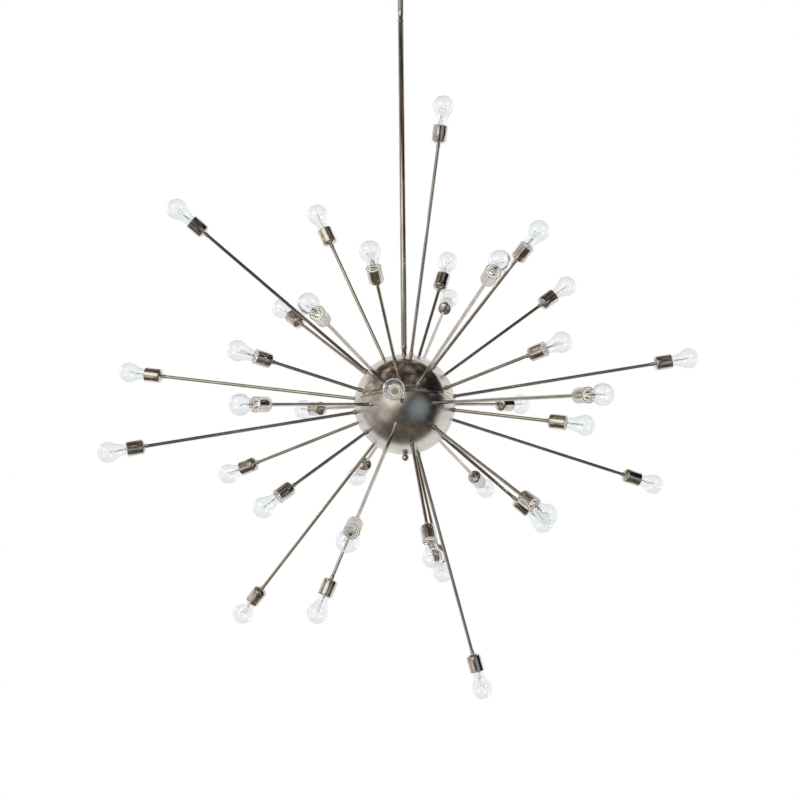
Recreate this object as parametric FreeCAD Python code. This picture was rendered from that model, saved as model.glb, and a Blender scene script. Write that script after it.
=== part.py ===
import FreeCAD, Part
import math
import os

# Sputnik chandelier, in millimetres, +Z up.
# The origin is the middle of the ceiling crossbar's top face, on the ceiling.
# Arm azimuths run from -Y, the front, towards +X, and latitudes from the ball's seam upwards.

# Ball
hub_radius = 117.0
hub_wall = 1.2

# Arms
arm_radius = 4.0
long_tube = 472.0
medium_tube = 305.5
short_tube = 208.0
seat_radius = 5.5
seat_height = 6.0
ferrule_radius = 5.0
ferrule_length = 7.0
cup_radius = 17.0
cup_length = 43.0
cup_shoulder = 4.0
cup_wall = 1.0

# Lamp and the core that holds it
lamp_radius = 23.8
lamp_neck_radius = 13.0
lamp_length = 67.0
lamp_inset = 2.0
lamp_latitudes = (-25, 24)
lamp_crown_latitude = 65
core_radius = 15.4

# Holes in the ball: latitude, azimuth of the first hole, and the tube in each hole of the ring
crown_latitude = 66.7
shoulder_latitude = 38.1
belt_latitude = 10.6
crown_azimuth = 20.4
shoulder_azimuth = -12.6
belt_azimuth = 16.9
rings = [
    ("ring_1", crown_latitude, crown_azimuth, "long short medium"),
    ("ring_2", shoulder_latitude, shoulder_azimuth, "short medium medium long medium long"),
    ("ring_3", belt_latitude, belt_azimuth, "long short long short medium short long short medium"),
    ("ring_4", -belt_latitude, belt_azimuth - 20.0, "short long short long medium short medium long medium"),
    ("ring_5", -shoulder_latitude, shoulder_azimuth, "long medium short medium long short"),
    ("ring_6", -crown_latitude, crown_azimuth, "short long medium"),
]
tubes = {"long": long_tube, "medium": medium_tube, "short": short_tube}

# Stem
stem_radius = 7.0
stem_wall = 1.2
lower_stem_length = 820.0
upper_stem_length = 300.0
coupler_length = 32.0
coupler_radius = 7.0
bead_radius = 8.0
bead_height = 3.0
bead_edge = 1.0
lock_ring_radius = 7.7
lock_ring_height = 6.6
sleeve_radius = 6.6
sleeve_length = 16.0

# Threaded pipe inside the stem and the ball
pipe_radius = 5.0
pipe_bore = 3.4
pipe_grip = 22.0
wire_exit_radius = 2.6
washer_radius = 10.0
washer_thickness = 1.6
nut_across_flats = 17.0
nut_height = 5.0

# Finial
finial_ball_radius = 8.4
finial_seat_radius = 6.6
finial_neck_radius = 4.8
finial_neck_length = 3.4
finial_seat_thickness = 1.0
finial_latitudes = (35, 0, -35, -65)
finial_stud_length = 9.0

# Hang-straight joint
fork_base = 5.0
fork_boss_length = 12.0
ear_gap = 8.3
ear_thickness = 4.0
ear_half_width = 7.0
pivot_drop = 14.2
cross_half_width = 8.0
cross_half_height = 5.5
trunnion_radius = 3.0
wire_hole_radius = 3.6

# Ceiling fitting
canopy_radius = 75.0
canopy_depth = 28.0
canopy_face_radius = 73.0
canopy_wall = 1.2
canopy_collar_radius = 14.0
canopy_collar_height = 6.0
crossbar_length = 110.0
crossbar_width = 20.0
crossbar_thickness = 2.5
ceiling_slot_spacing = 79.4
ceiling_slot_width = 4.8
ceiling_slot_length = 14.3
canopy_screw_spacing = 50.0
canopy_screw_radius = 2.0
cap_nut_radius = 5.0
cap_nut_height = 9.0
cap_nut_crown_radius = 3.0
cap_nut_crown_height = 2.5
cap_nut_thread = 5.4

# Clearances
thread_clearance = 0.1
hole_clearance = 0.3
pivot_clearance = 0.1
screw_end_clearance = 0.2

# How far a drill runs past the faces that it cuts
drill_run = 1.0

# Flat sides that the small turned pieces are made with
rod_sides = 6
cup_sides = 8
pipe_sides = 8
fitting_sides = 12
shell_sides = 36

origin = FreeCAD.Vector(0, 0, 0)
up = FreeCAD.Vector(0, 0, 1)


def at_height(height):
    return FreeCAD.Vector(0, 0, height)


# Corner radius that gives a piece with flat sides the section area of a round one.
def corner_radius(radius, sides):
    return radius * math.sqrt(2 * math.pi / (sides * math.sin(2 * math.pi / sides)))


def ring_of_points(corner, height, sides):
    angles = [2 * math.pi * (step + 0.5) / sides for step in range(sides)]
    return [FreeCAD.Vector(corner * math.cos(a), corner * math.sin(a), height) for a in angles]


def polygon_face(points):
    return Part.Face(Part.makePolygon(points + points[:1]))


# A turned solid with flat sides. The section runs round the cut, as (corner radius, height).
def flat_sided(section, sides):
    faces = []
    for (radius_a, height_a), (radius_b, height_b) in zip(section, section[1:] + section[:1]):
        if radius_a == 0 and radius_b == 0:
            continue
        if radius_a == 0 or radius_b == 0:
            faces.append(polygon_face(ring_of_points(max(radius_a, radius_b), height_a, sides)))
            continue
        ring_a = ring_of_points(radius_a, height_a, sides)
        ring_b = ring_of_points(radius_b, height_b, sides)
        for side in range(sides):
            after = (side + 1) % sides
            faces.append(polygon_face([ring_a[side], ring_a[after], ring_b[after], ring_b[side]]))
    solid = Part.makeSolid(Part.makeShell(faces))
    if solid.Volume < 0:
        solid.reverse()
    return solid


# The same from the round section that it stands for, as (radius, height).
def faceted(section, sides):
    return flat_sided([(corner_radius(radius, sides), height) for radius, height in section], sides)


# A faceted ring or sleeve round one of the threaded pipes.
def collar(outer, bore, low, high):
    body = faceted(rod(outer, low, high), fitting_sides)
    return body.cut(faceted(rod(bore, low - drill_run, high + drill_run), pipe_sides))


# Rows of a turned section on a ball, at its latitudes in degrees.
def ball_rows(radius, centre, latitudes):
    angles = [math.radians(latitude) for latitude in latitudes]
    return [(radius * math.cos(angle), centre + radius * math.sin(angle)) for angle in angles]


def rod(radius, low, high):
    return [(0, low), (radius, low), (radius, high), (0, high)]


def sleeve(outer, inner, low, high):
    return [(outer, low), (outer, high), (inner, high), (inner, low)]


def save(name, solids):
    shape = solids[0] if len(solids) == 1 else Part.makeCompound(solids)
    shape.exportStep("parts/" + name + ".step")


# Heights, from the ceiling down
canopy_bottom = -canopy_depth
collar_bottom = canopy_bottom - canopy_collar_height
fork_bottom = collar_bottom - fork_base
pivot_height = fork_bottom - pivot_drop
lower_fork_top = pivot_height - pivot_drop
upper_stem_top = lower_fork_top - fork_base - fork_boss_length
coupler_top = upper_stem_top - upper_stem_length
coupler_bottom = coupler_top - coupler_length
lower_stem_bottom = coupler_bottom - lower_stem_length
sleeve_top = lower_stem_bottom - lock_ring_height
sleeve_bottom = sleeve_top - sleeve_length
hub_height = sleeve_bottom - hub_radius
finial_seat = hub_height - hub_radius


# Placement of an arm: its own +Z points out along the hole's axis from the ball's centre.
def arm_placement(latitude, azimuth):
    lat = math.radians(latitude)
    az = math.radians(azimuth)
    along = FreeCAD.Vector(math.cos(lat) * math.sin(az), -math.cos(lat) * math.cos(az), math.sin(lat))
    side = FreeCAD.Vector(math.cos(az), math.sin(az), 0)
    rotation = FreeCAD.Rotation(side, along.cross(side), along, "ZXY")
    return FreeCAD.Placement(at_height(hub_height), rotation)


def arm_places(ring):
    name, latitude, first_azimuth, kinds = ring
    pitch = 360.0 / len(kinds.split())
    return [(kind, arm_placement(latitude, first_azimuth + pitch * hole))
            for hole, kind in enumerate(kinds.split())]


def placed(solid, place):
    copy = solid.copy()
    copy.Placement = place
    return copy


# Arm pieces along their own axis, measured from the ball's centre
seat_top = hub_radius + seat_height


# Seat in place, with its foot cut to the ball's flats.
def arm_seat(place, half):
    foot = faceted(rod(seat_radius, hub_radius - hub_wall, seat_top), rod_sides)
    return placed(foot, place).cut(half_ball(hub_radius, half))


def arm_tube(length):
    return faceted(rod(arm_radius, seat_top, seat_top + length), rod_sides)


# Cup with its ferrule: open at the mouth, with a bevelled shoulder at the arm's end.
def socket_cup(length):
    back = seat_top + length
    shoulder = back + ferrule_length
    mouth = shoulder + cup_length
    inside = cup_radius - cup_wall
    floor = shoulder + cup_shoulder
    section = [(0, back), (arm_radius, back), (ferrule_radius, shoulder), (cup_radius, floor),
               (cup_radius, mouth), (inside, mouth), (inside, floor), (0, floor)]
    return faceted(section, cup_sides)


def lamp_start(length):
    return seat_top + length + ferrule_length + cup_length - lamp_inset


def lampholder_core(length):
    floor = seat_top + length + ferrule_length + cup_shoulder
    return faceted(rod(core_radius, floor, lamp_start(length)), cup_sides)


# Pear-shaped glass: a ball that narrows to the neck in the cup.
def lamp_glass(length):
    start = lamp_start(length)
    tip = start + lamp_inset + lamp_length
    centre = tip - lamp_radius
    section = [(0, start), (lamp_neck_radius, start)]
    section += ball_rows(lamp_radius, centre, lamp_latitudes)
    section += [(lamp_radius * math.cos(math.radians(lamp_crown_latitude)), tip), (0, tip)]
    return faceted(section, cup_sides)


def save_arms():
    for ring in rings:
        places = arm_places(ring)
        half = "upper" if ring[1] > 0 else "lower"
        save("arm_seats_" + ring[0], [arm_seat(place, half) for kind, place in places])
        save("arm_tubes_" + ring[0], [placed(arm_tube(tubes[kind]), place) for kind, place in places])
        save("socket_cups_" + ring[0], [placed(socket_cup(tubes[kind]), place) for kind, place in places])
        save("socket_cores_" + ring[0],
             [placed(lampholder_core(tubes[kind]), place) for kind, place in places])
        save("lamps_" + ring[0], [placed(lamp_glass(tubes[kind]), place) for kind, place in places])


# Half section of a ball whose flat facets touch the sphere at the arms' latitudes and at the pole,
# so that each arm seats face to face. It runs from the seam to the pole, as (corner radius, height).
def ball_outline(radius):
    arm_latitudes = [0, belt_latitude, shoulder_latitude, crown_latitude, 90]
    touching = [0, belt_latitude]
    for low, high in zip(arm_latitudes[1:], arm_latitudes[2:]):
        touching += [(low + high) / 2, high]
    outline = []
    for low, high in zip(touching, touching[1:]):
        latitude = math.radians((low + high) / 2)
        reach = radius / math.cos(math.radians(high - low) / 2)
        outline.append((reach * math.cos(latitude) / math.cos(math.pi / shell_sides), reach * math.sin(latitude)))
    return [(outline[0][0], 0)] + outline


# Solid half of a ball in place, turned so that its flats face the arms of the belt.
def half_ball(radius, half):
    form = flat_sided(ball_outline(radius) + [(0, radius), (0, 0)], shell_sides)
    if half == "lower":
        form = form.mirror(origin, up)
    form.rotate(origin, up, belt_azimuth)
    form.translate(at_height(hub_height))
    return form


# Half of the ball: a spun shell with a hole at its pole for the tie rod.
def hub_shell(half):
    shell = half_ball(hub_radius, half).cut(half_ball(hub_radius - hub_wall, half))
    reach = hub_radius + drill_run
    return shell.cut(faceted(rod(pipe_radius + hole_clearance, hub_height - reach, hub_height + reach), pipe_sides))


def clamp_plane():
    return hub_radius - hub_wall


def clamp_washers():
    inner = pipe_radius + hole_clearance
    low = clamp_plane() - washer_thickness
    upper = sleeve(washer_radius, inner, hub_height + low, hub_height + clamp_plane())
    lower = sleeve(washer_radius, inner, hub_height - clamp_plane(), hub_height - low)
    return [faceted(upper, pipe_sides), faceted(lower, pipe_sides)]


def hex_nut(low, bore):
    corner = nut_across_flats / math.sqrt(3)
    points = [FreeCAD.Vector(corner * math.cos(math.radians(60 * k)), corner * math.sin(math.radians(60 * k)), low)
              for k in range(6)]
    body = polygon_face(points).extrude(at_height(nut_height))
    return body.cut(faceted(rod(bore, low - drill_run, low + nut_height + drill_run), pipe_sides))


def clamp_nuts():
    inner = pipe_radius + thread_clearance
    low = clamp_plane() - washer_thickness - nut_height
    return [hex_nut(hub_height + low, inner), hex_nut(hub_height - low - nut_height, inner)]


def threaded_pipe(low, high):
    return faceted(sleeve(pipe_radius, pipe_bore, low, high), pipe_sides)


# Rod that draws the ball's halves together, drilled across where the wires leave it.
def tie_rod():
    pipe = threaded_pipe(finial_seat, lower_stem_bottom + pipe_grip)
    drill = faceted(rod(wire_exit_radius, -pipe_radius - drill_run, pipe_radius + drill_run), rod_sides)
    drill.rotate(origin, FreeCAD.Vector(0, 1, 0), 90)
    drill.translate(at_height(hub_height))
    return pipe.cut(drill)


def stem_tube(low, high):
    return faceted(sleeve(stem_radius, stem_radius - stem_wall, low, high), fitting_sides)


# Coupler between the stem's two lengths, with a bead at each end.
def stem_coupler():
    inner = pipe_radius + thread_clearance
    top_bead = coupler_top - bead_height
    low_bead = coupler_bottom + bead_height
    section = [(0, coupler_bottom), (coupler_radius, coupler_bottom),
               (bead_radius, coupler_bottom + bead_edge), (bead_radius, low_bead - bead_edge),
               (coupler_radius, low_bead), (coupler_radius, top_bead),
               (bead_radius, top_bead + bead_edge), (bead_radius, coupler_top - bead_edge),
               (coupler_radius, coupler_top), (0, coupler_top)]
    bore = faceted(rod(inner, coupler_bottom - drill_run, coupler_top + drill_run), pipe_sides)
    return faceted(section, fitting_sides).cut(bore)


def bottom_finial():
    neck_end = finial_seat - finial_neck_length
    centre = neck_end - math.sqrt(finial_ball_radius ** 2 - finial_neck_radius ** 2)
    stud = pipe_bore - thread_clearance
    section = [(0, finial_seat), (finial_seat_radius, finial_seat),
               (finial_seat_radius, finial_seat - finial_seat_thickness), (finial_neck_radius, neck_end)]
    section += ball_rows(finial_ball_radius, centre, finial_latitudes)
    section.append((0, section[-1][1]))
    stud_rod = faceted(rod(stud, finial_seat, finial_seat + finial_stud_length), pipe_sides)
    return faceted(section, fitting_sides).fuse(stud_rod)


# Fork of the hang-straight joint, ears down, with its base on the given height.
def fork(base_top):
    base_low = base_top - fork_base
    pivot = base_low - pivot_drop
    reach = ear_gap + ear_thickness
    base = Part.makeBox(2 * reach, 2 * ear_half_width, fork_base,
                        FreeCAD.Vector(-reach, -ear_half_width, base_low))
    chamfer = ear_half_width * math.tan(math.radians(22.5))
    outline = [(-ear_half_width, base_low), (-ear_half_width, pivot - chamfer),
               (-chamfer, pivot - ear_half_width), (chamfer, pivot - ear_half_width),
               (ear_half_width, pivot - chamfer), (ear_half_width, base_low)]
    ears = []
    for inner in (ear_gap, -reach):
        face = polygon_face([FreeCAD.Vector(inner, y, z) for y, z in outline])
        ears.append(face.extrude(FreeCAD.Vector(ear_thickness, 0, 0)))
    body = base.fuse(ears).removeSplitter()
    hole = Part.makeCylinder(trunnion_radius + pivot_clearance, 4 * reach,
                             FreeCAD.Vector(-2 * reach, 0, pivot), FreeCAD.Vector(1, 0, 0))
    return body.cut(hole)


def pipe_drill(low, high):
    return faceted(rod(pipe_radius + thread_clearance, low - drill_run, high + drill_run), pipe_sides)


def upper_fork():
    return fork(collar_bottom).cut(pipe_drill(fork_bottom, collar_bottom))


# The lower fork is the same form turned over and a quarter round, with a boss for the stem.
def lower_fork():
    boss = faceted(rod(stem_radius, 0, fork_boss_length), fitting_sides)
    body = fork(0).fuse(boss).cut(pipe_drill(-fork_base, fork_boss_length))
    body.rotate(origin, FreeCAD.Vector(1, 0, 0), 180)
    body.rotate(origin, up, 90)
    body.translate(at_height(lower_fork_top - fork_base))
    return body


# Cross of the joint: a block with a wire hole and four trunnions.
def joint_cross():
    block = Part.makeBox(2 * cross_half_width, 2 * cross_half_width, 2 * cross_half_height,
                         FreeCAD.Vector(-cross_half_width, -cross_half_width, -cross_half_height))
    reach = ear_gap + ear_thickness
    for direction in (FreeCAD.Vector(1, 0, 0), FreeCAD.Vector(0, 1, 0)):
        trunnion = Part.makeCylinder(trunnion_radius, 2 * reach, direction * -reach, direction)
        block = block.fuse(trunnion)
    block = block.removeSplitter()
    drill_reach = cross_half_height + drill_run
    block = block.cut(faceted(rod(wire_hole_radius, -drill_reach, drill_reach), pipe_sides))
    block.translate(at_height(pivot_height))
    return block


# Spun canopy with a little draft, open at the ceiling.
def ceiling_canopy():
    inside = canopy_bottom + canopy_wall
    section = [(canopy_radius, 0), (canopy_face_radius, canopy_bottom), (0, canopy_bottom), (0, inside),
               (canopy_face_radius - canopy_wall, inside), (canopy_radius - canopy_wall, 0)]
    hole = faceted(rod(pipe_radius + hole_clearance, canopy_bottom - drill_run, 0), pipe_sides)
    canopy = faceted(section, shell_sides).cut(hole)
    for side in (-1, 1):
        drill = faceted(rod(canopy_screw_radius + hole_clearance, canopy_bottom - drill_run, 0), rod_sides)
        drill.translate(FreeCAD.Vector(side * canopy_screw_spacing / 2, 0, 0))
        canopy = canopy.cut(drill)
    return canopy


def mounting_crossbar():
    bar = Part.makeBox(crossbar_length, crossbar_width, crossbar_thickness,
                       FreeCAD.Vector(-crossbar_length / 2, -crossbar_width / 2, -crossbar_thickness))
    bar = bar.cut(pipe_drill(-crossbar_thickness, 0))
    low = -crossbar_thickness - drill_run
    half_run = (ceiling_slot_length - ceiling_slot_width) / 2
    for side in (-1, 1):
        middle = side * ceiling_slot_spacing / 2
        slot = Part.makeBox(2 * half_run, ceiling_slot_width, drill_run - low,
                            FreeCAD.Vector(middle - half_run, -ceiling_slot_width / 2, low))
        for end in (-half_run, half_run):
            spot = FreeCAD.Vector(middle + end, 0, low)
            slot = slot.fuse(Part.makeCylinder(ceiling_slot_width / 2, drill_run - low, spot))
        bar = bar.cut(slot.removeSplitter())
        drill = faceted(rod(canopy_screw_radius + thread_clearance, low, drill_run), rod_sides)
        drill.translate(FreeCAD.Vector(side * canopy_screw_spacing / 2, 0, 0))
        bar = bar.cut(drill)
    return bar


def canopy_screws():
    screws = []
    for side in (-1, 1):
        screw = faceted(rod(canopy_screw_radius, canopy_bottom - cap_nut_thread, 0), rod_sides)
        screw.translate(FreeCAD.Vector(side * canopy_screw_spacing / 2, 0, 0))
        screws.append(screw)
    return screws


# Closed cap nut that holds the canopy up on its screw.
def cap_nuts():
    low = canopy_bottom - cap_nut_height
    bore = canopy_screw_radius + thread_clearance
    blind = canopy_bottom - cap_nut_thread - screw_end_clearance
    section = [(0, low), (cap_nut_crown_radius, low), (cap_nut_radius, low + cap_nut_crown_height),
               (cap_nut_radius, canopy_bottom), (bore, canopy_bottom), (bore, blind), (0, blind)]
    nuts = []
    for side in (-1, 1):
        nut = faceted(section, rod_sides)
        nut.translate(FreeCAD.Vector(side * canopy_screw_spacing / 2, 0, 0))
        nuts.append(nut)
    return nuts


def canopy_collar():
    return collar(canopy_collar_radius, pipe_radius + thread_clearance, collar_bottom, canopy_bottom)


def save_ceiling_fitting():
    save("mounting_crossbar", [mounting_crossbar()])
    save("crossbar_nut", [hex_nut(-crossbar_thickness - nut_height, pipe_radius + thread_clearance)])
    save("canopy_nipple", [threaded_pipe(fork_bottom, 0)])
    save("ceiling_canopy", [ceiling_canopy()])
    save("canopy_screws", canopy_screws())
    save("canopy_cap_nuts", cap_nuts())
    save("canopy_collar", [canopy_collar()])
    save("joint_upper_fork", [upper_fork()])
    save("joint_cross", [joint_cross()])
    save("joint_lower_fork", [lower_fork()])


def save_stem():
    save("upper_stem", [stem_tube(coupler_top, upper_stem_top)])
    save("stem_nipples", [threaded_pipe(upper_stem_top - pipe_grip, lower_fork_top),
                          threaded_pipe(coupler_bottom - pipe_grip, coupler_top + pipe_grip)])
    save("stem_coupler", [stem_coupler()])
    save("lower_stem", [stem_tube(lower_stem_bottom, coupler_bottom)])
    bore = pipe_radius + hole_clearance
    save("hub_lock_ring", [collar(lock_ring_radius, bore, sleeve_top, lower_stem_bottom)])
    save("hub_sleeve", [collar(sleeve_radius, bore, sleeve_bottom, sleeve_top)])


def save_ball():
    save("hub_upper_shell", [hub_shell("upper")])
    save("hub_lower_shell", [hub_shell("lower")])
    save("hub_tie_rod", [tie_rod()])
    save("hub_clamp_washers", clamp_washers())
    save("hub_clamp_nuts", clamp_nuts())
    save("bottom_finial", [bottom_finial()])


os.makedirs("parts", exist_ok=True)
save_ceiling_fitting()
save_stem()
save_ball()
save_arms()
print("hub centre height", round(hub_height, 2), "pivot height", round(pivot_height, 2))
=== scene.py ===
import math
import random

import bpy
from mathutils import Matrix, Vector


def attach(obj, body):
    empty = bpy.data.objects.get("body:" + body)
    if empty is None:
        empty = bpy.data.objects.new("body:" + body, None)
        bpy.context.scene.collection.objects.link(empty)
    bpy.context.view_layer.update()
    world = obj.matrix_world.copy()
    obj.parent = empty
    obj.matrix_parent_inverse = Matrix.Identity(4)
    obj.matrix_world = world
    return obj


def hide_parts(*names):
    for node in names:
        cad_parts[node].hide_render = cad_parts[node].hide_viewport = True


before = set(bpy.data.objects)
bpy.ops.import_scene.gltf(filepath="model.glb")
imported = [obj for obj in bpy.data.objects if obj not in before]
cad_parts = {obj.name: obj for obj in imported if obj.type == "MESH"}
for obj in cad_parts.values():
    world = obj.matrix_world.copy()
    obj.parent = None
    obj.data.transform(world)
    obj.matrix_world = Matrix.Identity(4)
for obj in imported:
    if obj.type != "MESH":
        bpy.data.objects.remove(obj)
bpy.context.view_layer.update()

mm = 0.001

def deselectAll():
    if bpy.context.object and bpy.context.object.mode != "OBJECT":
        bpy.ops.object.mode_set(mode="OBJECT")
    bpy.ops.object.select_all(action="DESELECT")


def selectOnly(pieces):
    deselectAll()
    for piece in pieces:
        piece.select_set(True)
    bpy.context.view_layer.objects.active = pieces[0]


def applyModifiers(piece):
    selectOnly([piece])
    for modifier in list(piece.modifiers):
        bpy.ops.object.modifier_apply(modifier=modifier.name)


def smoothShade(piece, angle=35):
    selectOnly([piece])
    bpy.ops.object.shade_smooth_by_angle(angle=math.radians(angle))


def arcRows(ringRadius, height, radius, start, end, steps):
    # a curve of the section: angles in degrees from the outward level line
    rows = []
    for step in range(steps + 1):
        angle = math.radians(start + (end - start) * step / steps)
        rows.append((ringRadius + radius * math.cos(angle), height + radius * math.sin(angle)))
    return rows


def turned(name, rows, sides=32, ring=False):
    # extrudes and scales a circle along (radius, height) rows in mm; ring joins the last row to the first
    deselectAll()
    bpy.ops.mesh.primitive_circle_add(vertices=sides, radius=rows[0][0] * mm, location=(0, 0, rows[0][1] * mm),
                                      fill_type="NOTHING" if ring else "NGON")
    bpy.ops.object.transform_apply(location=True, rotation=False, scale=False)
    piece = bpy.context.object
    piece.name = piece.data.name = name
    bpy.ops.object.mode_set(mode="EDIT")
    bpy.ops.mesh.select_all(action="SELECT")
    path = rows + rows[:1] if ring else rows
    for (radiusBefore, heightBefore), (radius, height) in zip(path, path[1:]):
        bpy.ops.mesh.extrude_region_move(TRANSFORM_OT_translate={"value": (0, 0, (height - heightBefore) * mm)})
        factor = radius / radiusBefore
        bpy.ops.transform.resize(value=(factor, factor, 1), center_override=(0, 0, height * mm))
    bpy.ops.mesh.select_all(action="SELECT")
    bpy.ops.mesh.remove_doubles(threshold=1e-7)
    bpy.ops.mesh.normals_make_consistent(inside=False)
    bpy.ops.object.mode_set(mode="OBJECT")
    return piece


def selectFaces(piece, test):
    # object mode selection of faces by a test on their centre and normal, in mm
    for vertex in piece.data.vertices:
        vertex.select = False
    for edge in piece.data.edges:
        edge.select = False
    for face in piece.data.polygons:
        face.select = test(face.center / mm, face.normal)


def dropFaces(piece, test):
    selectOnly([piece])
    selectFaces(piece, test)
    bpy.ops.object.mode_set(mode="EDIT")
    bpy.ops.mesh.select_mode(type="FACE")
    bpy.ops.mesh.delete(type="FACE")
    bpy.ops.mesh.select_mode(type="VERT")
    bpy.ops.object.mode_set(mode="OBJECT")


def wallInwards(piece, thickness):
    wall = piece.modifiers.new("wall", "SOLIDIFY")
    wall.thickness = thickness * mm
    wall.offset = -1
    applyModifiers(piece)


def wire(name, points, radius, sides=6):
    # a thin wire through points in mm, extruded from a small circle
    deselectAll()
    first = Vector(points[1]) - Vector(points[0])
    bpy.ops.mesh.primitive_circle_add(vertices=sides, radius=radius * mm, fill_type="NGON",
                                      location=Vector(points[0]) * mm,
                                      rotation=first.to_track_quat("Z", "Y").to_euler())
    bpy.ops.object.transform_apply(location=True, rotation=True, scale=False)
    piece = bpy.context.object
    piece.name = piece.data.name = name
    bpy.ops.object.mode_set(mode="EDIT")
    bpy.ops.mesh.select_all(action="SELECT")
    for before, after in zip(points, points[1:]):
        bpy.ops.mesh.extrude_region_move(TRANSFORM_OT_translate={"value": (Vector(after) - Vector(before)) * mm})
    bpy.ops.mesh.select_all(action="SELECT")
    bpy.ops.mesh.normals_make_consistent(inside=False)
    bpy.ops.object.mode_set(mode="OBJECT")
    return piece


def joined(name, pieces):
    selectOnly(pieces)
    if len(pieces) > 1:
        bpy.ops.object.join()
    piece = bpy.context.object
    piece.name = piece.data.name = name
    return piece


def moved(piece, offset):
    selectOnly([piece])
    bpy.ops.transform.translate(value=Vector(offset) * mm)
    bpy.ops.object.transform_apply(location=True, rotation=False, scale=False)
    return piece


def paint(piece, material):
    piece.data.materials.clear()
    piece.data.materials.append(material)
    return piece


def hand(piece, body, slotName, *nodes):
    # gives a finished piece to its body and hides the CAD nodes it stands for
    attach(piece, body)
    if nodes:
        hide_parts(*nodes)
    return piece


def addNode(tree, kind, values=None, **options):
    node = tree.nodes.new(kind)
    for option, value in options.items():
        setattr(node, option, value)
    for socket, value in (values or {}).items():
        if isinstance(value, bpy.types.NodeSocket):
            tree.links.new(value, node.inputs[socket])
        else:
            node.inputs[socket].default_value = value
    return node


def colourRamp(tree, factor, stops):
    ramp = addNode(tree, "ShaderNodeValToRGB", {"Fac": factor})
    elements = ramp.color_ramp.elements
    while len(elements) < len(stops):
        elements.new(0.5)
    for element, (position, colour) in zip(elements, stops):
        element.position = position
        element.color = (*colour, 1)
    return ramp.outputs["Color"]


def newMaterial(name):
    material = bpy.data.materials.new(name)
    material.use_nodes = True
    return material, material.node_tree, material.node_tree.nodes["Principled BSDF"]


def patternPlace(tree, source, centre, stretch):
    # coordinates for a pattern: the row frame, or the piece's own frame kept in an attribute
    if source == "object":
        coords = addNode(tree, "ShaderNodeTexCoord").outputs["Object"]
    else:
        coords = addNode(tree, "ShaderNodeAttribute", attribute_name=source).outputs["Vector"]
    return addNode(tree, "ShaderNodeMapping", {"Vector": coords, "Location": [-c * s for c, s in zip(centre, stretch)],
                                               "Scale": stretch}).outputs["Vector"]


def calculate(tree, operation, first, second):
    return addNode(tree, "ShaderNodeMath", {0: first, 1: second}, operation=operation).outputs["Value"]


def mapValue(tree, value, low, high):
    return addNode(tree, "ShaderNodeMapRange", {"Value": value, "To Min": low, "To Max": high}).outputs["Result"]


def nickel(name, source, lines, dark, light, rough, lineStrength, cloudScale=14, centre=(0, 0, 0)):
    # plated nickel: lines is how the fine marks are stretched, rough the lowest and highest roughness
    material, tree, shader = newMaterial(name)
    even = patternPlace(tree, source, centre, (1, 1, 1))
    stretched = patternPlace(tree, source, centre, lines)
    cloud = addNode(tree, "ShaderNodeTexNoise", {"Vector": even, "Scale": cloudScale, "Detail": 4,
                                                 "Roughness": 0.6}).outputs["Fac"]
    marks = addNode(tree, "ShaderNodeTexNoise", {"Vector": stretched, "Scale": 1, "Detail": 3,
                                                 "Roughness": 0.7}).outputs["Fac"]
    mixed = addNode(tree, "ShaderNodeMath", {0: cloud, 1: marks}, operation="MULTIPLY").outputs["Value"]
    shade = colourRamp(tree, mixed, [(0.12, dark), (0.36, light)])
    tree.links.new(shade, shader.inputs["Base Color"])
    tree.links.new(mapValue(tree, mixed, rough[0], rough[1] * 2 - rough[0]), shader.inputs["Roughness"])
    bump = addNode(tree, "ShaderNodeBump", {"Height": marks, "Strength": lineStrength, "Distance": 0.0002})
    tree.links.new(bump.outputs["Normal"], shader.inputs["Normal"])
    shader.inputs["Metallic"].default_value = 1
    return material


rodLight = (0.74, 0.70, 0.645)
rodDark = (0.40, 0.365, 0.33)


def glassFinish(name, tint):
    material, tree, shader = newMaterial(name)
    place = patternPlace(tree, "armSpace", (0, 0, 0), (1, 1, 1))
    haze = addNode(tree, "ShaderNodeTexNoise", {"Vector": place, "Scale": 60, "Detail": 2}).outputs["Fac"]
    shade = colourRamp(tree, haze, [(0.3, tint), (0.7, tuple(min(1, c * 1.02) for c in tint))])
    tree.links.new(shade, shader.inputs["Base Color"])
    shader.inputs["Roughness"].default_value = 0.0
    shader.inputs["IOR"].default_value = 1.48
    shader.inputs["Transmission Weight"].default_value = 1
    # light passes straight through to what is inside, as it does in thin glass
    paths = addNode(tree, "ShaderNodeLightPath")
    lighting = calculate(tree, "MAXIMUM", paths.outputs["Is Shadow Ray"], paths.outputs["Is Diffuse Ray"])
    clear = addNode(tree, "ShaderNodeBsdfTransparent")
    mix = addNode(tree, "ShaderNodeMixShader", {0: lighting, 1: shader.outputs["BSDF"], 2: clear.outputs["BSDF"]})
    tree.links.new(mix.outputs["Shader"], tree.nodes["Material Output"].inputs["Surface"])
    return material


def mattFinish(name, dark, light, rough, scale, metallic=0.0, source="armSpace"):
    material, tree, shader = newMaterial(name)
    place = patternPlace(tree, source, (0, 0, 0), (1, 1, 1))
    grain = addNode(tree, "ShaderNodeTexNoise", {"Vector": place, "Scale": scale, "Detail": 4}).outputs["Fac"]
    tree.links.new(colourRamp(tree, grain, [(0.35, dark), (0.65, light)]), shader.inputs["Base Color"])
    tree.links.new(mapValue(tree, grain, rough[0], rough[1]), shader.inputs["Roughness"])
    bump = addNode(tree, "ShaderNodeBump", {"Height": grain, "Strength": 0.15, "Distance": 0.0002})
    tree.links.new(bump.outputs["Normal"], shader.inputs["Normal"])
    shader.inputs["Metallic"].default_value = metallic
    return material


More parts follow.
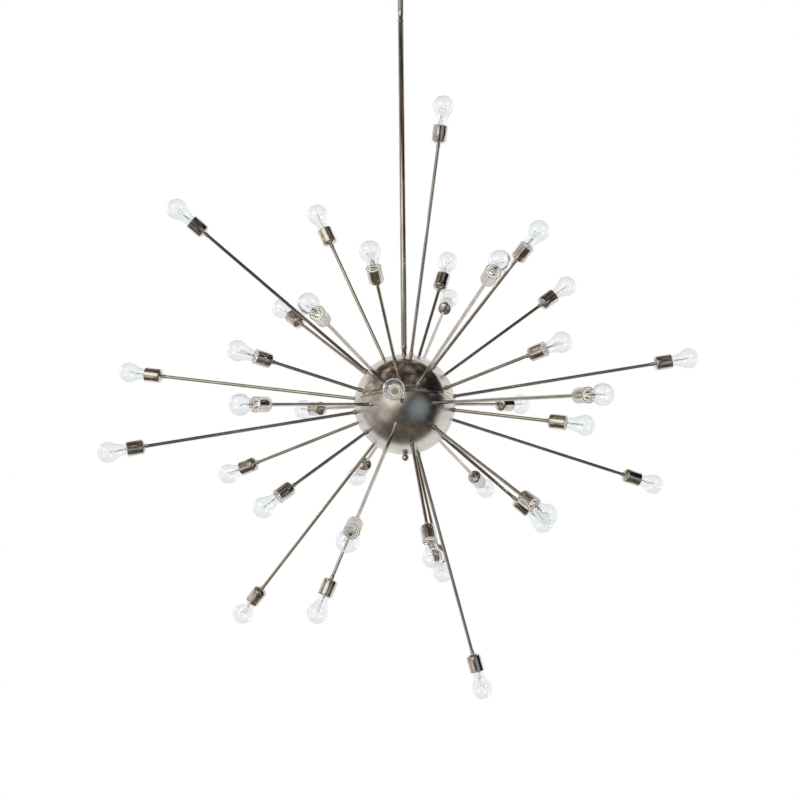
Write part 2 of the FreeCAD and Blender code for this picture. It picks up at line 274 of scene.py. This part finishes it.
ball = {"radius": 117, "height": -1376.0, "wall": 1.2}
tubeLengths = {"long": 472, "medium": 305.5, "short": 208}
rings = {
    "ring_1": (66.7, 20.4, "long short medium"),
    "ring_2": (38.1, -12.6, "short medium medium long medium long"),
    "ring_3": (10.6, 16.9, "long short long short medium short long short medium"),
    "ring_4": (-10.6, -3.1, "short long short long medium short medium long medium"),
    "ring_5": (-38.1, -12.6, "long medium short medium long short"),
    "ring_6": (-66.7, 20.4, "short long medium"),
}
ballCentre = Vector((0, 0, ball["height"])) * mm


def armPlaces(ring):
    # (kind, matrix) of each arm: its own Z runs out along the hole's axis from the ball's centre
    latitude, firstAzimuth, kinds = rings[ring]
    kinds = kinds.split()
    places = []
    for hole, kind in enumerate(kinds):
        lat = math.radians(latitude)
        az = math.radians(firstAzimuth + 360 * hole / len(kinds))
        along = Vector((math.cos(lat) * math.sin(az), -math.cos(lat) * math.cos(az), math.sin(lat)))
        side = Vector((math.cos(az), math.sin(az), 0))
        turn = Matrix((side, along.cross(side), along)).transposed().to_4x4()
        places.append((kind, Matrix.Translation(ballCentre) @ turn))
    return places


shuffle = random.Random(7)


def keepOwnFrame(piece):
    own = piece.data.attributes.new("armSpace", "FLOAT_VECTOR", "POINT")
    own.data.foreach_set("vector", [c for vertex in piece.data.vertices for c in vertex.co])
    return piece


def placedCopies(name, models, places, offset):
    # copies of the model for each arm, each with its own mesh, joined as one ring's piece
    copies = []
    for kind, place in places:
        model = models[kind] if isinstance(models, dict) else models
        twin = model.copy()
        twin.data = model.data.copy()
        bpy.context.collection.objects.link(twin)
        shift = [shuffle.uniform(-1, 1) for axis in range(3)]
        own = twin.data.attributes["armSpace"].data
        own.foreach_set("vector", [c + s for vertex in twin.data.vertices for c, s in zip(vertex.co, shift)])
        twin.matrix_world = place @ Matrix.Translation((0, 0, offset(kind) * mm))
        copies.append(twin)
    selectOnly(copies)
    bpy.ops.object.transform_apply(location=True, rotation=True, scale=True)
    return joined(name, copies)


print("stage: finishes")
armNickel = nickel("drawn nickel, arms", "armSpace", (700, 700, 14), rodDark, rodLight, (0.08, 0.18), 0.05)
cupNickel = nickel("polished nickel, cups", "armSpace", (420, 420, 20), (0.56, 0.53, 0.50), (0.84, 0.81, 0.77),
                   (0.04, 0.10), 0.08, 30)
stemNickel = nickel("drawn nickel, stem", "object", (500, 500, 6), (0.44, 0.41, 0.38), rodLight, (0.07, 0.15), 0.12)
fittingNickel = nickel("polished nickel, fittings", "object", (90, 90, 900), (0.60, 0.57, 0.53), (0.84, 0.81, 0.77),
                       (0.05, 0.12), 0.08, 40)
lampClear = glassFinish("clear lamp glass", (0.928, 0.94, 0.948))
mountClear = glassFinish("clear mount glass", (0.90, 0.92, 0.93))
creamCeramic = mattFinish("cream insulator", (0.87, 0.83, 0.75), (0.93, 0.90, 0.84), (0.35, 0.5), 300)
shellCopper = mattFinish("copper screw shell", (0.62, 0.33, 0.17), (0.80, 0.47, 0.27), (0.2, 0.35), 400, 1.0)
capBrass = mattFinish("brass lamp cap", (0.66, 0.52, 0.28), (0.82, 0.68, 0.42), (0.2, 0.35), 350, 1.0)
leadWire = mattFinish("lead wire", (0.33, 0.32, 0.31), (0.5, 0.48, 0.46), (0.3, 0.45), 800, 1.0)
platedSteel = mattFinish("zinc plated steel", (0.52, 0.53, 0.55), (0.70, 0.71, 0.72), (0.28, 0.45), 220, 1.0, "object")

print("stage: ball")


def ballFinish(name, spun):
    material, tree, shader = newMaterial(name)
    middle = tuple(ballCentre)
    even = patternPlace(tree, "object", middle, (1, 1, 1))
    # level rings about the stem: the lines that spinning leaves
    spinPlace = patternPlace(tree, "object", middle, (0.8, 0.8, 150) if spun else (3, 3, 40))
    lines = addNode(tree, "ShaderNodeTexNoise", {"Vector": spinPlace, "Scale": 1, "Detail": 5,
                                                 "Roughness": 0.62}).outputs["Fac"]
    cloud = addNode(tree, "ShaderNodeTexNoise", {"Vector": even, "Scale": 16, "Detail": 5, "Roughness": 0.55,
                                                 "Distortion": 0.4}).outputs["Fac"]
    if spun:
        shade = colourRamp(tree, lines, [(0.36, (0.46, 0.41, 0.365)), (0.60, (0.82, 0.785, 0.745))])
        rough = mapValue(tree, lines, 0.08, 0.20)
    else:
        shade = colourRamp(tree, cloud, [(0.32, (0.56, 0.545, 0.525)), (0.66, (0.82, 0.80, 0.775))])
        rough = mapValue(tree, cloud, 0.20, 0.32)
    tree.links.new(shade, shader.inputs["Base Color"])
    tree.links.new(rough, shader.inputs["Roughness"])
    bump = addNode(tree, "ShaderNodeBump", {"Height": lines, "Strength": 0.5 if spun else 0.1, "Distance": 0.0006})
    tree.links.new(bump.outputs["Normal"], shader.inputs["Normal"])
    shader.inputs["Metallic"].default_value = 1
    return material


ballUpper = ballFinish("spun nickel, upper half", True)
ballLower = ballFinish("clouded nickel, lower half", False)
seam = {"round": 7, "proud": 0.3, "upperEdge": 5.6, "lowerEdge": 2.2, "steps": 30, "sides": 96}


def ballHalf(name, upper):
    # half of the ball from the pole hole to the seam; the upper half's edge is rounded in
    radius, hole = ball["radius"], 5.3
    top = math.degrees(math.acos(hole / radius))
    edge = seam["upperEdge"] if upper else seam["lowerEdge"]
    rows = arcRows(0, 0, radius, top, math.degrees(math.asin(edge / radius)), seam["steps"])
    if upper:
        rows += arcRows(radius - seam["round"] + seam["proud"], edge - 0.1, seam["round"], -4, -51, 7)
        rows += [(radius - 3.0, 0.05)]
    else:
        rows += [(radius - 0.1, 1.2), (radius - 0.45, 0.6), (radius - 1.4, 0.1), (radius - 2.6, 0.05)]
    inside = radius - ball["wall"] - 0.4
    wall = [(radius - 3.4, 0.4), (radius - 2.6, 6)] + arcRows(0, 0, inside, 5, top, 14)[1:]
    section = rows + wall[:-1] + [(hole, inside)]
    if not upper:
        section = [(r, -z) for r, z in section]
    piece = turned(name, [(r, z + ball["height"]) for r, z in section], seam["sides"], ring=True)
    smoothShade(piece, 40)
    return piece


hand(paint(ballHalf("ball_upper_half", True), ballUpper), "chandelier", "polished_nickel", "hub_upper_shell")
hand(paint(ballHalf("ball_lower_half", False), ballLower), "chandelier", "polished_nickel", "hub_lower_shell")

finial = {"radius": 8.4, "neck": 4.8, "seat": 6.6, "drop": 3.7, "centre": 6.2}
seatHeight = ball["height"] - ball["radius"]


def makeFinial():
    # a small flared seat, a waisted neck with a groove, and the round knob
    radius, neck, seat = finial["radius"], finial["neck"], finial["seat"]
    knobHeight = seatHeight - finial["drop"] - finial["centre"]
    rows = [(seat - 1, seatHeight + 0.4), (seat, seatHeight + 0.1), (seat + 0.3, seatHeight - 0.7),
            (seat - 0.3, seatHeight - 1.4), (neck + 0.3, seatHeight - 2.0), (neck - 0.7, seatHeight - 2.7)]
    rows += arcRows(0, knobHeight, radius, 55, -88, 18)
    piece = turned("bottom_finial_round", rows, 40)
    smoothShade(piece, 50)
    return piece


hand(paint(makeFinial(), fittingNickel), "chandelier", "polished_nickel", "bottom_finial")

print("stage: stem")
stem = {"radius": 7, "wall": 1.2, "pipeTop": -84.4, "upperEnd": -384.4, "couplerEnd": -416.4, "lowerEnd": -1236.4,
        "ringEnd": -1243.0, "sleeveEnd": -1259.0}


def stemTube(name, high, low):
    outer, inner = stem["radius"], stem["radius"] - stem["wall"]
    rows = [(outer - 0.4, low), (outer, low + 0.4), (outer, high - 0.4), (outer - 0.4, high), (inner + 0.2, high),
            (inner, high - 0.3), (inner, low + 0.3), (inner + 0.2, low)]
    piece = turned(name, rows, 40, ring=True)
    smoothShade(piece, 50)
    return paint(piece, stemNickel)


hand(stemTube("stem_upper_tube", stem["pipeTop"], stem["upperEnd"]), "chandelier", "polished_nickel", "upper_stem")
hand(stemTube("stem_lower_tube", stem["couplerEnd"], stem["lowerEnd"]), "chandelier", "polished_nickel", "lower_stem")


def beadRows(height, radius, bead, width):
    # a rounded bead on a turned piece, from its low side to its high side
    return [(radius, height - width / 2)] + arcRows(radius - 0.3, height, bead - radius + 0.3, -70, 70, 6) \
        + [(radius, height + width / 2)]


def makeCoupler():
    high, low, bore = stem["upperEnd"], stem["couplerEnd"], 5.1
    rows = [(bore, low), (6.6, low), (7.0, low + 0.3)] + beadRows(low + 2.1, 7.0, 8.0, 2.8)
    rows += [(7.0, low + 5), (6.75, low + 5.4), (6.75, high - 5.4), (7.0, high - 5)]
    rows += beadRows(high - 2.1, 7.0, 8.0, 2.8) + [(7.0, high - 0.3), (6.6, high), (bore, high)]
    piece = turned("stem_coupler_round", rows, 40, ring=True)
    smoothShade(piece, 45)
    return paint(piece, fittingNickel)


hand(makeCoupler(), "chandelier", "polished_nickel", "stem_coupler")


def makeLockRing():
    high, low, bore = stem["lowerEnd"], stem["ringEnd"], 5.3
    middle = (high + low) / 2
    rows = [(bore, low), (6.7, low), (7.2, low + 0.4), (7.2, low + 1.2)] + beadRows(middle, 7.1, 7.9, 3.4)
    rows += [(7.2, high - 1.2), (7.2, high - 0.4), (6.7, high), (bore, high)]
    piece = turned("lock_ring_round", rows, 40, ring=True)
    smoothShade(piece, 45)
    return paint(piece, fittingNickel)


hand(makeLockRing(), "chandelier", "polished_nickel", "hub_lock_ring")


def makeSleeve():
    high, low, bore = stem["ringEnd"], stem["sleeveEnd"], 5.3
    rows = [(bore, low), (7.6, low), (7.8, low + 0.5), (7.6, low + 1.2), (6.7, low + 1.6), (6.5, low + 2.4),
            (6.5, high - 0.5), (6.2, high), (bore, high)]
    piece = turned("ball_sleeve_round", rows, 40, ring=True)
    smoothShade(piece, 45)
    return paint(piece, fittingNickel)


hand(makeSleeve(), "chandelier", "polished_nickel", "hub_sleeve")

print("stage: arms")
arm = {"radius": 4, "seatHeight": 6, "seatRadius": 5.5}


def armRoot(kind):
    return ball["radius"] + arm["seatHeight"]


def cupBack(kind):
    return armRoot(kind) + tubeLengths[kind]


def cupMouth(kind):
    return cupBack(kind) + 50


def makeSeat():
    high = arm["seatHeight"]
    rows = [(4.6, -0.3), (5.3, -0.25), (5.5, 0.2), (5.5, high - 2.2), (5.1, high - 1.9), (5.1, high - 1.5),
            (5.35, high - 1.2), (5.2, high - 0.5), (4.5, high)]
    piece = turned("seat_model", rows, 24)
    smoothShade(piece, 40)
    return keepOwnFrame(paint(piece, cupNickel))


def makeTube(kind):
    length = tubeLengths[kind]
    radius = arm["radius"]
    rows = [(radius - 0.25, 0), (radius, 0.25)]
    steps = 6
    rows += [(radius, length * step / steps) for step in range(1, steps)]
    rows += [(radius, length - 0.25), (radius - 0.25, length)]
    piece = turned("tube_model_" + kind, rows, 24)
    smoothShade(piece, 40)
    return keepOwnFrame(paint(piece, armNickel))


cup = {"radius": 17, "length": 50, "wall": 0.8}


def makeCup():
    radius, mouth, inner = cup["radius"], cup["length"], cup["radius"] - cup["wall"]
    rows = [(3.9, 0.0), (4.5, 0.15)]
    rows += arcRows(0.4, 3.3, 4.9, -40, 42, 8)  # the small round ferrule
    rows += [(4.0, 7.0), (4.3, 7.5), (6.5, 8.0), (8.2, 8.4), (14.2, 11.6), (15.6, 12.5), (16.5, 13.6), (radius, 15.2)]
    rows += [(radius, 30), (radius, mouth - 2.4), (radius + 0.05, mouth - 1.9)]
    rows += arcRows(radius - 0.35, mouth - 0.85, 0.85, -50, 140, 8)  # the rolled rim
    rows += [(inner, mouth - 1.6), (inner, 30), (inner, 15.4), (inner - 1.6, 13.6), (6, 12.6)]
    piece = turned("cup_model", rows, 40)
    smoothShade(piece, 38)
    return keepOwnFrame(paint(piece, cupNickel))


def makeInsulator():
    # the cream liner of the lampholder; its lip reaches in over the screw shell
    high = cup["length"] - 0.5
    rows = [(15.4, 14), (15.5, 16), (15.7, high - 1.5), (15.7, high - 0.7), (15.4, high - 0.15), (14.9, high),
            (13.2, high), (12.75, high - 0.25), (12.65, high - 1.2), (13.35, high - 1.8), (13.35, 20), (13.0, 14)]
    piece = turned("insulator_model", rows, 36, ring=True)
    smoothShade(piece, 40)
    return keepOwnFrame(paint(piece, creamCeramic))


def makeScrewShell():
    # copper shell with rolled threads that the lamp's cap turns into
    high = cup["length"] - 2.4
    rows = [(13.2, 20)]
    for turn in range(7):
        height = high - 21 + turn * 3
        rows += [(12.75, height), (13.2, height + 1.5)]
    rows += [(13.3, high), (12.6, high)]
    for turn in range(7):
        height = high - 3 - turn * 3
        rows += [(12.75, height + 1.5), (12.3, height)]
    rows += [(12.8, 20)]
    piece = turned("shell_model", rows, 32, ring=True)
    smoothShade(piece, 60)
    return keepOwnFrame(paint(piece, shellCopper))


lamp = {"radius": 23.8, "tip": 67, "wall": 0.7}


def makeLampGlass():
    # heights from the cup's mouth; the glass is open at the neck, inside the cap
    middle = lamp["tip"] - lamp["radius"]
    rows = [(12.0, -5), (12.1, -1), (12.2, 3), (12.6, 8), (13.4, 13), (14.9, 19), (17.2, 25), (20.2, 31)]
    rows += arcRows(0, middle, lamp["radius"], -24, 87, 18)
    piece = turned("glass_model", rows, 40)
    dropFaces(piece, lambda centre, normal: centre.z < -4.9 and abs(normal.z) > 0.9)
    smoothShade(piece, 60)
    wallInwards(piece, lamp["wall"])
    return keepOwnFrame(paint(piece, lampClear))


def makeMount():
    # the glass foot inside the lamp, pinched flat at its top
    rows = [(9.5, -4), (7.0, -2), (5.2, 1), (4.3, 5), (3.9, 10), (3.6, 14), (3.2, 17), (2.0, 18.5)]
    piece = turned("mount_model", rows, 16)
    selectOnly([piece])
    for vertex in piece.data.vertices:
        vertex.select = vertex.co.z > 13 * mm
    bpy.ops.object.mode_set(mode="EDIT")
    bpy.ops.transform.resize(value=(1.35, 0.45, 1), center_override=(0, 0, 14 * mm))
    bpy.ops.object.mode_set(mode="OBJECT")
    smoothShade(piece, 60)
    return keepOwnFrame(paint(piece, mountClear))


def makeFilament():
    leads = []
    for side in (-1, 1):
        leads.append(wire("lead", [(side * 2.2, 0, 8), (side * 2.4, 0, 18), (side * 5.0, 0, 26), (side * 9.5, 0, 39),
                                   (side * 9.3, 0, 40.5)], 0.42))
    leads.append(wire("support", [(0.6, 0.2, 16), (0.5, 0.4, 24), (3.2, 1.6, 36.5)], 0.26))
    leads.append(wire("support", [(-0.6, -0.2, 16), (-0.5, -0.4, 24), (-3.2, -1.6, 36.5)], 0.26))
    coil = [(-9.4, 0, 39.8), (-6.5, -1.2, 38), (-3.2, -1.7, 36.6), (0, 0, 36.0), (3.2, 1.7, 36.6), (6.5, 1.2, 38),
            (9.4, 0, 39.8)]
    leads.append(wire("coil", coil, 0.55))
    piece = joined("filament_model", leads)
    smoothShade(piece, 50)
    return keepOwnFrame(paint(piece, leadWire))


def makeCap():
    # brass cap of the lamp, with the rolled thread, down inside the lampholder; open towards the glass
    rows = [(3.0, -33), (5.5, -32), (6.5, -30), (11.2, -27.5)]
    for turn in range(7):
        height = -26.5 + turn * 3
        rows += [(11.7, height), (12.25, height + 1.5)]
    rows += [(12.3, -5.2), (12.45, -4.4), (12.45, -3.0), (12.3, -2.7), (12.15, -3.0), (12.1, -5.4), (10.6, -7.0),
             (9.6, -14)]
    piece = turned("cap_model", rows, 32)
    smoothShade(piece, 60)
    return keepOwnFrame(paint(piece, capBrass))


def makeCement():
    # the white ring inside the lamp's neck, where the glass is sealed to the cap
    rows = [(9.4, -5.6), (11.2, -5.4), (11.3, -3.0), (11.0, -2.2), (9.9, -1.9), (9.0, -2.6), (8.8, -4.4)]
    piece = turned("cement_model", rows, 32, ring=True)
    smoothShade(piece, 60)
    return keepOwnFrame(paint(piece, creamCeramic))


armModels = {
    "seat": makeSeat(), "cup": makeCup(), "insulator": makeInsulator(), "shell": makeScrewShell(),
    "glass": makeLampGlass(), "mount": makeMount(), "filament": makeFilament(), "cap": makeCap(), "cement": makeCement(),
}
tubeModels = {kind: makeTube(kind) for kind in tubeLengths}

for ring in rings:
    places = armPlaces(ring)
    pieces = [
        ("arm_collars_", armModels["seat"], lambda kind: ball["radius"], "polished_nickel", "arm_seats_"),
        ("arm_rods_", tubeModels, armRoot, "polished_nickel", "arm_tubes_"),
        ("cups_", armModels["cup"], cupBack, "polished_nickel", "socket_cups_"),
        ("insulators_", armModels["insulator"], cupBack, "socket_insulator", "socket_cores_"),
        ("screw_shells_", armModels["shell"], cupBack, "socket_insulator", "socket_cores_"),
        ("lamp_glass_", armModels["glass"], cupMouth, "lamp_glass", "lamps_"),
        ("lamp_mounts_", armModels["mount"], cupMouth, "lamp_glass", "lamps_"),
        ("lamp_filaments_", armModels["filament"], cupMouth, "lamp_glass", "lamps_"),
        ("lamp_caps_", armModels["cap"], cupMouth, "lamp_glass", "lamps_"),
        ("lamp_seals_", armModels["cement"], cupMouth, "lamp_glass", "lamps_"),
    ]
    for stemName, model, offset, slotName, node in pieces:
        hand(placedCopies(stemName + ring, model, places, offset), "chandelier", slotName, node + ring)

for model in list(armModels.values()) + list(tubeModels.values()):
    bpy.data.objects.remove(model)

print("stage: ceiling fitting")
canopy = {"rim": 75, "face": 73, "depth": 28, "wall": 1.2, "hole": 5.3}


def makeCanopy():
    rim, face, depth = canopy["rim"], canopy["face"], canopy["depth"]
    rows = [(rim - 1.3, -0.1), (rim - 0.3, -0.1), (rim - 0.1, -0.9), (rim - 0.5, -1.7), (rim - 0.55, -4)]
    rows += [(face + 0.6, -depth + 6)] + arcRows(face - 4.3, -depth + 5, 5, -5, -85, 8)
    rows += [(40, -depth), (22, -depth), (20.5, -depth - 0.25), (19, -depth), (canopy["hole"], -depth)]
    rows += [(canopy["hole"], -depth + 1.2), (40, -depth + 1.2), (face - 6, -depth + 1.3), (face - 2.6, -depth + 3.4),
             (face - 1.0, -depth + 7), (rim - 1.8, -4)]
    piece = turned("ceiling_canopy_round", rows, 96, ring=True)
    smoothShade(piece, 35)
    return paint(piece, fittingNickel)


hand(makeCanopy(), "ceiling_fitting", "polished_nickel", "ceiling_canopy")


def makeCanopyCollar():
    high, low = -28, -34
    rows = [(5.1, low), (11.5, low), (12.6, low + 0.5), (13.2, low + 1.8), (13.2, low + 2.6), (13.9, low + 3.2),
            (14.2, low + 4.3), (14.0, low + 5.5), (13.4, high), (5.1, high)]
    piece = turned("canopy_collar_round", rows, 56, ring=True)
    smoothShade(piece, 40)
    return paint(piece, fittingNickel)


hand(makeCanopyCollar(), "ceiling_fitting", "polished_nickel", "canopy_collar")


def makeCapNuts():
    nuts = []
    for side in (-1, 1):
        rows = [(5.0, -28), (5.0, -31.2), (4.6, -31.6), (4.3, -32)] + arcRows(0, -32.4, 4.4, -2, -86, 8)
        nut = turned("cap_nut", rows, 30)
        nuts.append(moved(nut, (side * 25, 0, 0)))
    piece = joined("cap_nuts_round", nuts)
    smoothShade(piece, 40)
    return paint(piece, fittingNickel)


hand(makeCapNuts(), "ceiling_fitting", "polished_nickel", "canopy_cap_nuts")

forkNickel = nickel("satin nickel, joint", "object", (300, 300, 300), (0.62, 0.59, 0.55), (0.78, 0.75, 0.70),
                    (0.16, 0.30), 0.2, 60)


def dressNode(nodeName, material):
    # a CAD node whose shape is right keeps its mesh and gets its finish
    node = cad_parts[nodeName]
    for place in node.material_slots:
        place.material = material


for nodeName in ("joint_upper_fork", "joint_lower_fork", "joint_cross"):
    dressNode(nodeName, forkNickel)
for nodeName in ("mounting_crossbar", "crossbar_nut", "canopy_nipple", "canopy_screws", "stem_nipples", "hub_tie_rod",
                 "hub_clamp_washers", "hub_clamp_nuts"):
    dressNode(nodeName, platedSteel)

print("stage: floor, light and camera")
floorHeight = -2.75


def makeFloor():
    deselectAll()
    bpy.ops.mesh.primitive_plane_add(size=160, location=(0, 0, floorHeight))
    bpy.ops.object.transform_apply(location=True, rotation=False, scale=False)
    floor = bpy.context.object
    floor.name = floor.data.name = "floor"
    material, tree, shader = newMaterial("pale floor")
    shader.inputs["Base Color"].default_value = (0.86, 0.86, 0.86, 1)
    shader.inputs["Roughness"].default_value = 0.9
    # paler to the eye, and open from underneath and to the metal, which shows the studio instead
    under = addNode(tree, "ShaderNodeNewGeometry").outputs["Backfacing"]
    paths = addNode(tree, "ShaderNodeLightPath")
    seen = calculate(tree, "MAXIMUM", paths.outputs["Is Camera Ray"], paths.outputs["Is Transmission Ray"])
    white = addNode(tree, "ShaderNodeEmission", {"Color": (1, 1, 1, 1), "Strength": 1})
    pale = addNode(tree, "ShaderNodeMixShader", {0: calculate(tree, "MULTIPLY", seen, 0.6),
                                                 1: shader.outputs["BSDF"], 2: white.outputs["Emission"]})
    clear = addNode(tree, "ShaderNodeBsdfTransparent")
    mirrored = calculate(tree, "GREATER_THAN", paths.outputs["Is Glossy Ray"], paths.outputs["Is Transmission Ray"])
    mix = addNode(tree, "ShaderNodeMixShader", {0: calculate(tree, "MAXIMUM", under, mirrored),
                                                1: pale.outputs["Shader"], 2: clear.outputs["BSDF"]})
    tree.links.new(mix.outputs["Shader"], tree.nodes["Material Output"].inputs["Surface"])
    paint(floor, material)


makeFloor()


def dot(tree, vector, axis):
    return addNode(tree, "ShaderNodeVectorMath", {0: vector, 1: axis}, operation="DOT_PRODUCT").outputs["Value"]


def blendColour(tree, factor, first, second):
    mix = addNode(tree, "ShaderNodeMix", {"Factor": factor}, data_type="RGBA")
    for index, colour in ((6, first), (7, second)):
        if isinstance(colour, bpy.types.NodeSocket):
            tree.links.new(colour, mix.inputs[index])
        else:
            mix.inputs[index].default_value = (*colour, 1)
    return mix.outputs[2]


def fade(tree, value, start, end):
    # 0 up to start, 1 from end on, smooth between them
    return addNode(tree, "ShaderNodeMapRange", {"Value": value, "From Min": start, "From Max": end},
                   interpolation_type="SMOOTHSTEP").outputs["Result"]


tilt = math.radians(14.85)
toCamera = (0, -math.cos(tilt), -math.sin(tilt))
cameraUp = (0, -math.sin(tilt), math.cos(tilt))


glows = {
    "left": {"towards": (-0.42, -0.90, 0.09), "colour": (1.25, 1.17, 1.02), "soft": (0.84, 0.995)},
    "right": {"towards": (0.553, -0.754, -0.357), "colour": (0.27, 0.315, 0.335), "soft": (0.85, 0.995)},
    "crescent": {"towards": (0.907, 0.254, -0.335), "colour": (0.85, 0.74, 0.56), "soft": (0.945, 0.985)},
}
lampSparks = {"towards": [(-0.48, -0.826, -0.28), (0.553, -0.754, -0.357)], "soft": (0.960, 0.985), "level": 4}


def makeWorld():
    # the studio as metal sees it: a white sweep behind, a dim warm room in front
    world = bpy.data.worlds.new("studio")
    bpy.context.scene.world = world
    world.use_nodes = True
    tree = world.node_tree
    background = tree.nodes["Background"]
    ray = addNode(tree, "ShaderNodeTexCoord").outputs["Generated"]
    rayX = dot(tree, ray, (1, 0, 0))
    rayUp = dot(tree, ray, cameraUp)
    rayFront = dot(tree, ray, toCamera)
    clutter = addNode(tree, "ShaderNodeTexNoise", {"Vector": ray, "Scale": 3.4, "Detail": 3,
                                                   "Roughness": 0.5, "Distortion": 0.3}).outputs["Fac"]
    room = colourRamp(tree, clutter, [(0.38, (0.016, 0.013, 0.012)), (0.47, (0.085, 0.066, 0.051)),
                                      (0.58, (0.155, 0.125, 0.10)), (0.68, (0.36, 0.32, 0.27))])
    low = fade(tree, rayUp, -0.50, -0.85)
    room = blendColour(tree, low, room, (0.115, 0.098, 0.068))
    bluish = calculate(tree, "MULTIPLY", fade(tree, rayUp, 0.35, 0.05), fade(tree, rayX, -0.15, 0.15))
    bluish = calculate(tree, "MULTIPLY", bluish, fade(tree, rayUp, -0.80, -0.40))
    room = blendColour(tree, calculate(tree, "MULTIPLY", bluish, 0.85), room, (0.085, 0.10, 0.108))
    black = calculate(tree, "MULTIPLY", fade(tree, rayX, 0.50, 0.72), fade(tree, rayUp, -0.75, -0.55))
    black = calculate(tree, "MULTIPLY", black, fade(tree, rayUp, 0.92, 0.78))
    room = blendColour(tree, black, room, (0.012, 0.011, 0.012))
    left = calculate(tree, "MULTIPLY", fade(tree, rayX, -0.12, -0.66), fade(tree, rayUp, -0.80, -0.35))
    left = calculate(tree, "MULTIPLY", left, fade(tree, rayUp, 0.80, 0.45))
    room = blendColour(tree, left, room, (0.46, 0.42, 0.375))
    streaks = addNode(tree, "ShaderNodeTexNoise", {"Vector": ray, "Scale": 7.5, "Detail": 2,
                                                   "Distortion": 0.2}).outputs["Fac"]
    streaks = addNode(tree, "ShaderNodeMapRange", {"Value": streaks, "From Min": 0.40, "From Max": 0.62,
                                                   "To Min": 0.30, "To Max": 1.95}).outputs["Result"]
    room = addNode(tree, "ShaderNodeVectorMath", {0: room, "Scale": streaks}, operation="SCALE").outputs["Vector"]
    for glow in glows.values():
        near = fade(tree, dot(tree, ray, Vector(glow["towards"]).normalized()), *glow["soft"])
        room = blendColour(tree, near, room, glow["colour"])
    # edge of the white sweep: further forward on the right and below
    shift = calculate(tree, "ADD", calculate(tree, "MULTIPLY", rayUp, 0.2),
                      calculate(tree, "MULTIPLY", calculate(tree, "MAXIMUM", rayX, 0.0), -0.26))
    behind = calculate(tree, "ADD", rayFront, shift)
    sweep = fade(tree, behind, -0.42, -0.50)
    studio = blendColour(tree, sweep, room, (0.88, 0.875, 0.86))
    paths = addNode(tree, "ShaderNodeLightPath")
    level = blendColour(tree, paths.outputs["Is Glossy Ray"], (0.62, 0.62, 0.62), studio)
    # glass bends light from above and below in at its outline, and shows small lights only by reflection
    steep = calculate(tree, "ABSOLUTE", dot(tree, ray, (0, 0, 1)), 0)
    through = blendColour(tree, fade(tree, steep, 0.45, 0.70), (1, 1, 1), (0.34, 0.36, 0.37))
    reflected = calculate(tree, "SUBTRACT", paths.outputs["Ray Depth"], paths.outputs["Transmission Depth"])
    reflected = calculate(tree, "MINIMUM", reflected, 1)
    for towards in lampSparks["towards"]:
        near = calculate(tree, "MULTIPLY", reflected, fade(tree, dot(tree, ray, towards), *lampSparks["soft"]))
        through = blendColour(tree, near, through, (lampSparks["level"],) * 3)
    level = blendColour(tree, paths.outputs["Is Transmission Ray"], level, through)
    level = blendColour(tree, paths.outputs["Is Camera Ray"], level, (1, 1, 1))
    tree.links.new(level, background.inputs["Color"])
    background.inputs["Strength"].default_value = 1


makeWorld()

softboxes = {
    "left_softbox": {"towards": (-0.60, -0.72, 0.35), "power": 26, "size": 1.1, "colour": (1.0, 0.96, 0.90)},
    "right_softbox": {"towards": (0.68, -0.68, 0.25), "power": 20, "size": 1.0, "colour": (0.93, 0.97, 1.0)},
    "side_strip": {"towards": (-0.80, 0.45, 0.40), "power": 12, "size": 0.7, "colour": (1.0, 0.98, 0.95)},
}
softboxDistance = 3.0


def makeLights():
    for name, values in softboxes.items():
        light = bpy.data.lights.new(name, "AREA")
        light.shape = "SQUARE"
        light.size = values["size"]
        light.energy = values["power"]
        light.color = values["colour"]
        holder = bpy.data.objects.new(name, light)
        towards = Vector(values["towards"]).normalized()
        holder.location = ballCentre + towards * softboxDistance
        holder.rotation_euler = towards.to_track_quat("Z", "Y").to_euler()
        holder.visible_glossy = False
        bpy.context.collection.objects.link(holder)


makeLights()

view = {"distance": 4.883, "lens": 95.1, "roll": -0.6, "shiftX": -4.7 / 800, "shiftY": 4.3 / 800}


def makeCamera():
    camera = bpy.data.cameras.new("camera")
    camera.lens = view["lens"]
    camera.sensor_width = 36
    camera.shift_x = view["shiftX"]
    camera.shift_y = view["shiftY"]
    camera.clip_end = 100
    holder = bpy.data.objects.new("camera", camera)
    bpy.context.collection.objects.link(holder)
    away = Vector(toCamera)
    holder.location = ballCentre + away * view["distance"]
    look = away.to_track_quat("Z", "Y").to_matrix()
    holder.rotation_euler = (look @ Matrix.Rotation(math.radians(view["roll"]), 3, "Z")).to_euler()
    bpy.context.scene.camera = holder


makeCamera()
bpy.context.scene.view_settings.view_transform = "Standard"

print("stage: finished")
